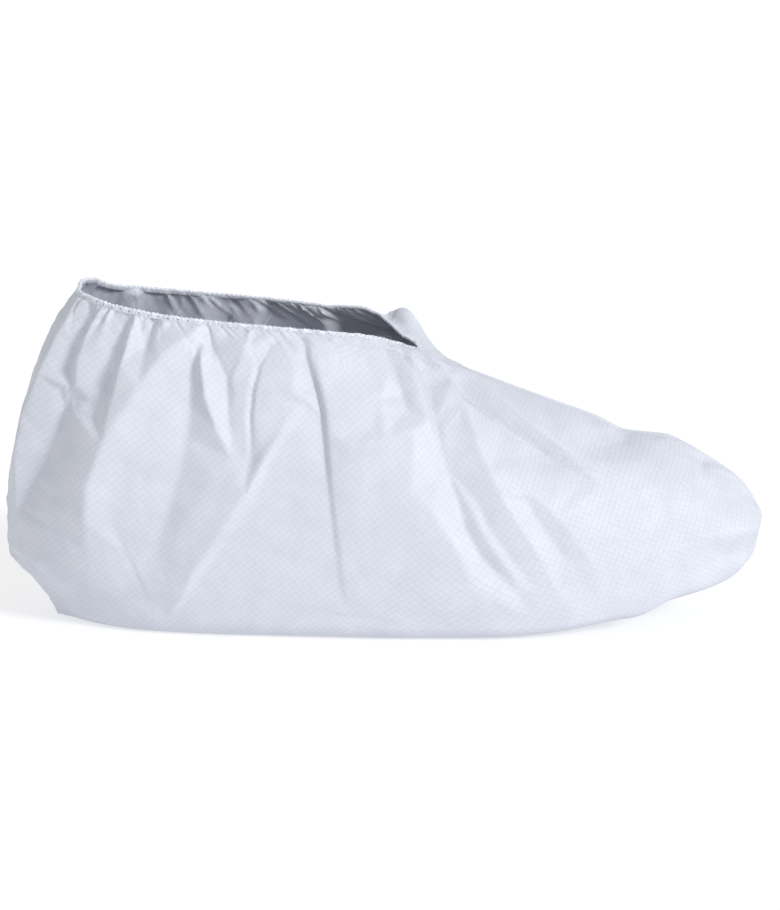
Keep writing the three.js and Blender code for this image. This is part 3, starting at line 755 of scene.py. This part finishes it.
def onVectors(tree, operation, *values):
    return addNode(tree, "ShaderNodeVectorMath", dict(enumerate(values)), operation=operation).outputs


def split(tree, vector):
    return addNode(tree, "ShaderNodeSeparateXYZ", {0: vector}).outputs


def mapped(tree, value, low, high, toLow=0.0, toHigh=1.0, **settings):
    inputs = {"Value": value, "From Min": low, "From Max": high, "To Min": toLow, "To Max": toHigh}
    return addNode(tree, "ShaderNodeMapRange", inputs, **settings).outputs[0]


def mixed(tree, share, low, high):
    return addNode(tree, "ShaderNodeMix", {0: share, 6: low, 7: high}, data_type="RGBA").outputs[2]


def noise(tree, place, scale, detail, **inputs):
    inputs = {"Vector": place, "Scale": scale, "Detail": detail, **inputs}
    return addNode(tree, "ShaderNodeTexNoise", inputs).outputs


def bump(tree, height, depth, **inputs):  # depth in mm
    inputs = {"Height": height, "Distance": depth * mm, **inputs}
    return addNode(tree, "ShaderNodeBump", inputs).outputs[0]


def newMaterial(name, roughness):
    material = bpy.data.materials.new(name)
    material.use_nodes = True
    shader = material.node_tree.nodes["Principled BSDF"]
    shader.inputs["Roughness"].default_value = roughness
    return material, material.node_tree, shader


def finished(material, tree, shader, colour, normal):
    tree.links.new(colour, shader.inputs["Base Color"])
    tree.links.new(normal, shader.inputs["Normal"])
    return material


# Taken as microporous polyethylene film on spunbond polypropylene, embossed with a broken grid:
# matte, papery and bluish white, with thin slightly darker lines.
laminate = {
    "white": "#CFD2DB",
    "line": "#B3B8C5",
    "lineShare": 0.55,    # how much of the line's colour shows
    "fibre": "#C4C8D3",
    "roughness": 0.62,
    "gridPitch": 2.5,     # mm
    "gridTurn": 45,       # degrees
    "wander": 0.06,       # how quickly the lines wander, per cell of the grid
    "lineWidth": 0.38,    # mm, wide enough to show in the main view
    "lineCore": 0.35,     # share of it that is fully dark
    "lineDepth": 0.03,    # mm
    # the dashes of one way are fainter and shorter: chances between which they fade, and their strengths
    "dashes": [(0.1, 0.3, 0.5, 1.0), (0.1, 0.5, 0.3, 0.9)],
    "fibrePitch": 0.9,    # mm, far coarser than real fibres, so that a grain shows
    "fibreDepth": 0.08,   # mm
    "fibreStrength": 0.7,
    "fibreShare": 0.6,    # of the fibres in the mottled colour, beside the clouds
    "cloudScale": 70.0,   # per metre
    "mottle": (0.5, 1.15),  # the sum of both, from the fibre's colour to the white
}


def laminateMaterial():
    material, tree, shader = newMaterial("microporousLaminate", laminate["roughness"])
    cloth = addNode(tree, "ShaderNodeUVMap", uv_map="cutCloth").outputs["UV"]
    turned = addNode(tree, "ShaderNodeMapping", {
        "Vector": cloth, "Rotation": (0, 0, math.radians(laminate["gridTurn"])),
        "Scale": (1 / (laminate["gridPitch"] * mm),) * 3}).outputs[0]
    wobble = noise(tree, turned, laminate["wander"], 0.0)["Color"]
    bend = onVectors(tree, "SUBTRACT", wobble, (0.5, 0.5, 0.5))[0]
    shifted = onVectors(tree, "MULTIPLY_ADD", bend, (0.5, 0.5, 0), turned)[0]
    within = split(tree, onVectors(tree, "FRACTION", shifted)[0])
    cell = onVectors(tree, "FLOOR", shifted)[0]
    chance = addNode(tree, "ShaderNodeTexWhiteNoise", {"Vector": cell}, noise_dimensions="2D")
    chances = split(tree, chance.outputs["Color"])
    width = laminate["lineWidth"] / laminate["gridPitch"]
    lines = []
    for axis, dash in enumerate(laminate["dashes"]):
        line = mapped(tree, within[axis], width * laminate["lineCore"], width, 1.0, 0.0,
                      interpolation_type="SMOOTHSTEP")
        lines.append(calculated(tree, "MULTIPLY", line, mapped(tree, chances[axis], *dash)))
    grid = calculated(tree, "MAXIMUM", *lines)
    fibres = noise(tree, cloth, 1 / (laminate["fibrePitch"] * mm), 3.0, Roughness=0.65, Distortion=0.6)[0]
    clouds = noise(tree, cloth, laminate["cloudScale"], 2.0)[0]
    mottle = calculated(tree, "MULTIPLY_ADD", fibres, laminate["fibreShare"], clouds)
    ground = mixed(tree, mapped(tree, mottle, *laminate["mottle"]),
                   linear(laminate["fibre"]), linear(laminate["white"]))
    share = calculated(tree, "MULTIPLY", grid, laminate["lineShare"])
    pressed = bump(tree, calculated(tree, "MULTIPLY", grid, -1.0), laminate["lineDepth"])
    rough = bump(tree, fibres, laminate["fibreDepth"], Strength=laminate["fibreStrength"], Normal=pressed)
    return finished(material, tree, shader, mixed(tree, share, ground, linear(laminate["line"])), rough)


# Overlock thread, taken as texturised polyester: matt, soft and pure white, with painted shade in the hollows
# of its twist.
sewing = {
    "white": "#E6E8EE",
    # painted shade, mixed in where the twist is low
    "twistShade": "#CDD1DB",
    "roughness": 0.8,
    "twist": 0.6,         # mm
    "twistDepth": 0.05,   # mm
}


def threadMaterial():
    material, tree, shader = newMaterial("polyesterThread", sewing["roughness"])
    place = addNode(tree, "ShaderNodeTexCoord").outputs["Object"]
    twist = noise(tree, place, 1 / (sewing["twist"] * mm), 2.0)[0]
    # painted shade: the colour darkens where the twist's bump is low
    colour = mixed(tree, twist, linear(sewing["twistShade"]), linear(sewing["white"]))
    return finished(material, tree, shader, colour, bump(tree, twist, sewing["twistDepth"]))


# The hem is taken as the laminate folded over a thin elastic: double, so whiter than the panels, with short
# upright crinkles where the elastic draws it in, painted shade in their hollows, and a row of needle holes
# painted dark as their shade.
binding = {
    "white": "#E4E7EE",
    # painted shade in the hollows of the crinkles
    "crinkleAndShade": "#BDC2D0",
    # painted shade inside the needle holes
    "holeShade": "#5C6070",
    "roughness": 0.66,
    "crinklePitch": 0.9,  # mm along the hem
    "crinkleStretch": 0.22,  # upright
    "crinkleShadeTone": (0.3, 0.62),
    "crinkleDepth": 0.25,  # mm
    "holeWidth": 0.5,     # mm
    "holeCore": 0.3,      # share of it that is fully dark
}


def hemMaterial(pitch, holeHeight):
    material, tree, shader = newMaterial("gatheredLaminate", binding["roughness"])
    band = addNode(tree, "ShaderNodeUVMap", uv_map="alongHem").outputs["UV"]
    drawn = addNode(tree, "ShaderNodeMapping", {"Vector": band, "Scale": (1, binding["crinkleStretch"], 1)})
    crinkleAndShade = noise(tree, drawn.outputs[0], 1 / (binding["crinklePitch"] * mm), 2.0)[0]
    # painted shade: the low parts of the crinkles take the darker colour, and the same noise gives the bump
    ground = mixed(tree, mapped(tree, crinkleAndShade, *binding["crinkleShadeTone"]),
                   linear(binding["crinkleAndShade"]), linear(binding["white"]))
    place = split(tree, band)
    step = calculated(tree, "PINGPONG", place[0], pitch * mm)
    off = calculated(tree, "SUBTRACT", place[1], holeHeight * mm)
    away = addNode(tree, "ShaderNodeCombineXYZ", {0: step, 1: off}).outputs[0]
    width = binding["holeWidth"] * mm
    # painted shade: a dark spot at each needle hole
    holeShade = mapped(tree, onVectors(tree, "LENGTH", away)["Value"], binding["holeCore"] * width, width,
                  1.0, 0.0, interpolation_type="SMOOTHSTEP")
    return finished(material, tree, shader, mixed(tree, holeShade, ground, linear(binding["holeShade"])),
                    bump(tree, crinkleAndShade, binding["crinkleDepth"]))


cloth = laminateMaterial()
thread = threadMaterial()
pieces = {}
for side, seed in (("right", 11), ("left", 47)):
    outer, inner, cut = panel(side, seed)
    piece = shell(side + "_panel_cloth", outer, inner, cut, side == "right")
    piece.data.materials.append(cloth)
    pieces[side] = piece
    run, rise = np.diff(outer, axis=0)[:, :-1], np.diff(outer, axis=1)[:-1]
    area = np.linalg.norm(np.cross(run, rise), axis=2).sum() * mm * mm
    print(f"{side} panel: {triangles(piece.data)} triangles, {area:.4f} m2 of cloth")


# The hem is a rolled band around the opening. Sizes are in mm.
hem = {
    "stitchPitch": 2.3,
    "sectionsPerStitch": 6,
    "rimPoints": 500,
    "upFrom": 0.97,       # share of the height from which the up direction is taken
    # outwards and up from the rim, around the band
    "outline": [(-0.3, -2.9), (0.1, -2.4), (0.36, -1.9), (0.55, -1.4), (0.7, -0.85), (0.66, -0.4),
                (0.4, -0.08), (0, 0), (-0.45, -0.1), (-0.7, -0.5), (-0.75, -1.2), (-0.7, -1.9),
                (-0.6, -2.5), (-0.45, -2.9)],
    "beadSwell": 0.14,    # the thread draws the edge into scallops
    "beadDepth": 0.4,     # their middle below the edge
    "beadSpread": 0.6,
    "holeDepth": 1.6,     # needle holes below the edge
    "holeDent": 0.16,     # how far the cloth is pressed in there
    "holeSpread": 0.5,
    "wave": 0.25,         # how far the gathers push the band in and out
    "waveCounts": (70, 60),  # waves in and out, and up and down
    "lift": 0.5,          # share of that up and down
    "stitchDepth": 1.2,   # middle of the stitches below the edge
    "stitch": {"Thread": 0.30, "Half Height": 1.28, "Half Thickness": 0.82},
    "unevenness": 0.05,   # share by which the stitches differ in size
}


def rimRing():  # points around the opening, their up and outward directions, and distances
    t = np.linspace(0, 1, hem["rimPoints"])
    half = wallPoint(t, 1 + 0 * t)
    up = half - wallPoint(t, hem["upFrom"] + 0 * t)
    whole = np.concatenate([half + farShift(t, 1 + 0 * t), half[-2:0:-1] * (1, -1, 1)])
    ups = unit(np.concatenate([up, up[-2:0:-1] * (1, -1, 1)]))
    whole, ups = (np.concatenate([line, line[:1]]) for line in (whole, ups))
    run = distances(whole)
    stitches = round(run[-1] / hem["stitchPitch"])
    s = np.linspace(0, run[-1], stitches * hem["sectionsPerStitch"] + 1)[:-1]
    place, up = pointsAt(s, run, whole), pointsAt(s, run, ups)
    forward = unit(np.roll(place, -1, 0) - np.roll(place, 1, 0))
    return place, up, unit(np.cross(up, forward)), s, run[-1], stitches


def waves(seed, s, total, count):  # a smooth chance line that closes on itself after total
    random = np.random.default_rng(seed)
    line = 0
    for n in range(3, count):
        size = random.normal() / math.sqrt(count)
        line = line + size * np.sin(2 * math.pi * n * s / total + random.uniform(0, 2 * math.pi))
    return line


def loft(name, sections, closed, mapPlaces, mapName):  # a tube through equal closed sections
    at = np.arange(sections.size // 3).reshape(sections.shape[:2])
    mesh = newMesh(name, sections.reshape(-1, 3), tubeFaces(at, closed))
    putMap(mesh, mapName, mapPlaces.reshape(-1, 2))
    return added(name, mesh)


rim, rimUp, rimOut, rimRun, rimLength, stitches = rimRing()
pitch = rimLength / stitches
beat = np.cos(2 * math.pi * rimRun / pitch)[:, None]
push = hem["wave"] * waves(5, rimRun, rimLength, hem["waveCounts"][0])
lift = hem["lift"] * hem["wave"] * waves(6, rimRun, rimLength, hem["waveCounts"][1])
aside, level = np.array(hem["outline"]).T
swell = hem["beadSwell"] * beat * bell((level + hem["beadDepth"]) / hem["beadSpread"])
swell = swell - hem["holeDent"] * (0.5 + 0.5 * beat) * bell((level + hem["holeDepth"]) / hem["holeSpread"])
outwards = aside + np.sign(aside) * swell + push[:, None]
upwards = level + swell * (np.abs(aside) < 0.5) + lift[:, None]
sections = rim[:, None] + rimOut[:, None] * outwards[..., None] + rimUp[:, None] * upwards[..., None]
girth = distances(np.array(hem["outline"]))
places = np.stack(np.broadcast_arrays(rimRun[:, None], girth), -1)
holeHeight = float(np.interp(hem["holeDepth"], -level[3::-1], girth[3::-1]))  # on the outer side
pieces["hem"] = loft("hem_band", sections, True, places, "alongHem")
pieces["hem"].data.materials.append(hemMaterial(pitch, holeHeight))
print("hem:", stitches, "stitches of", round(pitch, 2), "mm")

# The seam allowance: the two edges stand inwards, overlocked together. Sizes are in mm.
seam = {
    "width": 5.2,
    "thickness": 0.9,
    "edgeShare": 0.6,     # of the thickness at the free edge
    "start": 1.5,         # inwards from the seam line
    "step": 1.1,          # between sections
    "ends": 3.0,          # left out at both ends
    "smoothing": 17,      # sections over which its direction is evened out
    "wave": 0.8,          # how far the free edge sways
    "waveCount": 55,
    "waveLength": 1.01,   # of the path, since its ends don't meet
    "swayPower": 1.5,     # how quickly the sway grows towards the free edge
    "rows": 5,
    "caughtShare": 0.15,  # of the width is left at both ends, where the hem catches it
    "caughtRun": 14,      # how far from there it has its full width
    "stitchPitch": 2.6,
    "stitchInset": 1.7,   # middle of the stitches from the free edge
    "stitchFrom": 0.8,    # share of the full width under which there are no stitches
    "stitch": {"Thread": 0.32, "Half Height": 1.8, "Half Thickness": 0.62},
    "unevenness": 0.08,
}


def seamPath():  # down the heel, along the sole and up over the toe, in the seam plane
    v = np.linspace(0, 1, 300)
    heel, sole, front = (np.stack([along(form[name], v, 1), along(form[name], v, upColumn)], 1)
                         for name, upColumn in (("heelLine", 2), ("soleLine", 3), ("frontLine", 2)))
    front[:, 1] += shelf(1, v)
    path = np.concatenate([heel[::-1], sole[1:-1], front])
    run = distances(path)
    s = np.arange(seam["ends"], run[-1] - seam["ends"], seam["step"])
    path = pointsAt(s, run, path)
    ahead = np.gradient(path, axis=0)
    inward = unit(np.stack([-ahead[:, 1], ahead[:, 0]], 1))
    window = np.hanning(seam["smoothing"]) / np.hanning(seam["smoothing"]).sum()
    inward = np.stack([np.convolve(np.pad(column, seam["smoothing"] // 2, "edge"), window, "valid")
                       for column in inward.T], 1)
    return path, unit(inward), s


def inSeam(depth):  # its middle this deep, in mm towards the free edge
    middle = path + inward * (seam["start"] + depth * caught)[:, None]
    return np.stack([middle[:, 0], sway * (depth / seam["width"]) ** seam["swayPower"], middle[:, 1]], 1)


path, inward, seamRun = seamPath()
sway = seam["wave"] * waves(8, seamRun, seamRun[-1] * seam["waveLength"], seam["waveCount"])
toEnd = np.minimum(seamRun - seamRun[0], seamRun[-1] - seamRun)
caught = seam["caughtShare"] + (1 - seam["caughtShare"]) * smooth(toEnd / seam["caughtRun"])
depths = np.linspace(0, seam["width"], seam["rows"])
half = seam["thickness"] / 2
ring = [(half, depth) for depth in depths] + [(-half, depth) for depth in depths[::-1]]
sections = np.stack([inSeam(depth) + (0, aside * (seam["edgeShare"] if depth == depths[-1] else 1), 0)
                     for aside, depth in ring], 1)
places = np.stack(np.broadcast_arrays(seamRun[:, None], [depth + aside for aside, depth in ring]), -1)
pieces["seam"] = loft("seam_allowance", sections, False, places, "cutCloth")
pieces["seam"].data.materials.append(cloth)
print("seam allowance made:", round(seamRun[-1]), "mm")


def overlockTree():  # one turn of thread round the edge at every stitch
    tree = bpy.data.node_groups.new("overlockStitches", "GeometryNodeTree")
    kinds = {"Path": "Geometry", "Pitch": "Float", "Thread": "Float", "Half Height": "Float",
             "Half Thickness": "Float", "Unevenness": "Float", "Seed": "Int", "Material": "Material"}
    sockets = {name: tree.interface.new_socket(
        name, in_out="INPUT", socket_type="NodeSocket" + kind).identifier for name, kind in kinds.items()}
    tree.interface.new_socket("Stitches", in_out="OUTPUT", socket_type="NodeSocketGeometry")
    given = addNode(tree, "NodeGroupInput").outputs

    def step(kind, inputs, **settings):  # a node's first output
        return addNode(tree, kind, inputs, **settings).outputs[0]

    line = step("GeometryNodeMeshToCurve", {"Mesh": given["Path"]})
    spots = step("GeometryNodeResampleCurve", {"Curve": line, "Length": given["Pitch"]}, mode="LENGTH")
    upward = addNode(tree, "GeometryNodeInputNamedAttribute", {"Name": "up"}, data_type="FLOAT_VECTOR")
    facing = step("FunctionNodeAxesToRotation", {
        "Primary Axis": step("GeometryNodeInputTangent", {}),
        "Secondary Axis": upward.outputs["Attribute"]}, primary_axis="X", secondary_axis="Z")
    turn = step("GeometryNodeCurveSpiral", {
        "Resolution": 14, "Rotations": 1.0, "Start Radius": 1.0, "End Radius": 1.0, "Height": given["Pitch"]})
    shape = step("ShaderNodeCombineXYZ", {0: given["Half Height"], 1: given["Half Thickness"], 2: 1.0})
    around = step("GeometryNodeTransform", {
        "Geometry": turn, "Rotation": (0, math.radians(90), 0), "Scale": shape})
    radius = calculated(tree, "MULTIPLY", given["Thread"], 0.5)
    section = step("GeometryNodeCurvePrimitiveCircle", {"Resolution": 5, "Radius": radius}, mode="RADIUS")
    strand = step("GeometryNodeCurveToMesh", {
        "Curve": around, "Profile Curve": section, "Fill Caps": True})
    soft = step("GeometryNodeSetShadeSmooth", {0: strand, "Shade Smooth": True})
    size = step("FunctionNodeRandomValue", {
        0: calculated(tree, "SUBTRACT", 1.0, given["Unevenness"]),
        1: calculated(tree, "ADD", 1.0, given["Unevenness"]),
        "Seed": given["Seed"]}, data_type="FLOAT_VECTOR")
    copies = step("GeometryNodeInstanceOnPoints", {
        "Points": spots, "Instance": soft, "Rotation": facing, "Scale": size})
    real = step("GeometryNodeRealizeInstances", {0: copies})
    done = step("GeometryNodeSetMaterial", {"Geometry": real, "Material": given["Material"]})
    addNode(tree, "NodeGroupOutput", {0: done})
    return tree, sockets


def stitched(name, points, ups, closed, sizes, unevenness, seed):  # sizes in mm
    n = len(points)
    mesh = newMesh(name, points, [], [(k, (k + 1) % n) for k in range(n if closed else n - 1)])
    direction = mesh.attributes.new("up", "FLOAT_VECTOR", "POINT")
    direction.data.foreach_set("vector", ups.ravel().astype(np.float32))
    piece = added(name, mesh)
    modifier = piece.modifiers.new("stitches", "NODES")
    modifier.node_group = overlock
    values = {socket: size * mm for socket, size in sizes.items()}
    values.update({"Unevenness": unevenness, "Seed": seed, "Material": thread})
    for socket, value in values.items():
        modifier[overlockSockets[socket]] = value
    real = bpy.data.meshes.new_from_object(piece.evaluated_get(bpy.context.evaluated_depsgraph_get()))
    piece.modifiers.clear()
    piece.data = real
    real.name = name
    print(name + ":", triangles(real), "triangles")
    return piece


overlock, overlockSockets = overlockTree()
pieces["hemStitches"] = stitched(
    "hem_stitches", rim + rimOut * push[:, None] + rimUp * (lift - hem["stitchDepth"])[:, None], rimUp, True,
    {"Pitch": pitch, **hem["stitch"]}, hem["unevenness"], 3)
wide = caught > seam["stitchFrom"]
pieces["seamStitches"] = stitched(
    "seam_stitches", inSeam(seam["width"] - seam["stitchInset"])[wide],
    np.stack([inward[:, 0], 0 * sway, inward[:, 1]], 1)[wide], False,
    {"Pitch": seam["stitchPitch"], **seam["stitch"]}, seam["unevenness"], 4)

# Ends of the thread that stand up from the hem, in mm.
fibre = {
    "at": [-101, -98, -96, -93, -74, -71, -66, -57, -55, -2, 3],  # their x
    "thickness": 0.13,
    "tip": 0.5,           # share of the thickness
    "length": (3.0, 7.5),
    "rise": 0.55,         # how strongly they stand up, beside how far they lean
    "lean": (0.9, 0.35, 0.25),
    "curl": 2.2,
    "sink": 0.2,          # how far below the edge they may hang
    "points": 12,
    "sides": 5,
}


def fibres(seed):
    random = np.random.default_rng(seed)
    turn = np.linspace(0, 2 * math.pi, fibre["sides"] + 1)[:-1, None]
    rings, faces = [], []
    for x in fibre["at"]:
        k = np.argmin(np.where(rim[:, 1] < 0, np.abs(rim[:, 0] - x), np.inf))  # on the near side
        s = np.linspace(0, 1, fibre["points"])[:, None] * random.uniform(*fibre["length"])
        lean, bow = random.normal(size=(2, 3)) * fibre["lean"]
        line = rim[k] + s * unit(fibre["rise"] * rimUp[k] + lean)
        line = line + bow * fibre["curl"] * np.sin(math.pi * s / s[-1])
        line[:, 2] = np.maximum(line[:, 2], rim[k, 2] - fibre["sink"])
        ahead = np.gradient(line, axis=0)
        side = unit(np.cross(ahead, (0.1, 0.95, 0.2)))
        over = unit(np.cross(ahead, side))
        radius = fibre["thickness"] / 2 * np.linspace(1, fibre["tip"], len(line))[:, None, None]
        around = np.cos(turn) * side[:, None] + np.sin(turn) * over[:, None]
        at = np.arange(len(line) * len(turn)).reshape(len(line), -1)
        faces += tubeFaces(at + len(rings) * at.size, False)
        rings.append((line[:, None] + radius * around).reshape(-1, 3))
    mesh = newMesh("loose_fibres", np.concatenate(rings), faces)
    mesh.materials.append(thread)
    return added("loose_fibres", mesh)


pieces["fibres"] = fibres(12)
print("loose fibres:", len(fibre["at"]))

view = {
    "azimuth": 0.0,       # degrees; 0 looks along +Y
    "elevation": 12.0,
    "distance": 1.6,      # m
    "target": (0.00285, 0.0, 0.0767),
    "lens": 133.25,
    "sensor": 36,
}
light = {
    "world": 0.69,
    # like a large soft box far off: turn, rise and angle in degrees, distance in m
    "key": {"turn": 47.0, "rise": 26.0, "distance": 2.0, "strength": 0.64, "angle": 14.0},
    # an opal table lit from inside, so shadows stay faint; reach in mm
    "floor": {"colour": "#C3C3C4", "roughness": 0.9, "glow": 0.5, "reach": 9000},
}


def placed(turn, rise, distance, target):  # turn to the right of the camera, rise above the floor
    a, e = math.radians(turn), math.radians(rise)
    return Vector(target) + distance * Vector((math.sin(a) * math.cos(e), -math.cos(a) * math.cos(e),
                                               math.sin(e)))


def aim(thing, target):
    thing.rotation_euler = (Vector(target) - thing.location).to_track_quat("-Z", "Y").to_euler()


camera = added("camera", bpy.data.cameras.new("camera"))
camera.data.lens = view["lens"]
camera.data.sensor_width = view["sensor"]
camera.location = placed(view["azimuth"], view["elevation"], view["distance"], view["target"])
aim(camera, view["target"])
scene.camera = camera

key = added("key", bpy.data.lights.new("key", "SUN"))
key.data.energy = math.pi * light["key"]["strength"]
key.data.angle = math.radians(light["key"]["angle"])
key.location = placed(light["key"]["turn"], light["key"]["rise"], light["key"]["distance"], view["target"])
aim(key, view["target"])

world = bpy.data.worlds.new("studio")
world.use_nodes = True
world.node_tree.nodes["Background"].inputs[0].default_value = linear("#FFFFFF")
world.node_tree.nodes["Background"].inputs[1].default_value = light["world"]
scene.world = world
scene.view_settings.view_transform = "Standard"

table, _, tableShader = newMaterial("opalTable", light["floor"]["roughness"])
tableShader.inputs["Base Color"].default_value = linear(light["floor"]["colour"])
tableShader.inputs["Emission Color"].default_value = linear("#FFFFFF")
tableShader.inputs["Emission Strength"].default_value = light["floor"]["glow"]
corners = np.array([(-1, -1, 0), (1, -1, 0), (1, 1, 0), (-1, 1, 0)]) * light["floor"]["reach"]
floorMesh = newMesh("floor", corners, [(0, 1, 2, 3)])
floorMesh.materials.append(table)
floor = added("floor", floorMesh)
print("camera, light and floor placed")

for name, slot, nodes in (("right", "laminate", ["right_panel"]), ("left", "laminate", ["left_panel"]),
                          ("hem", "elastic", ["elastic_hem"]), ("seam", "laminate", ["centre_seam"]),
                          ("hemStitches", "thread", []), ("seamStitches", "thread", []),
                          ("fibres", "thread", [])):
    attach(pieces[name], "root")
    if nodes:
        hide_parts(*nodes)
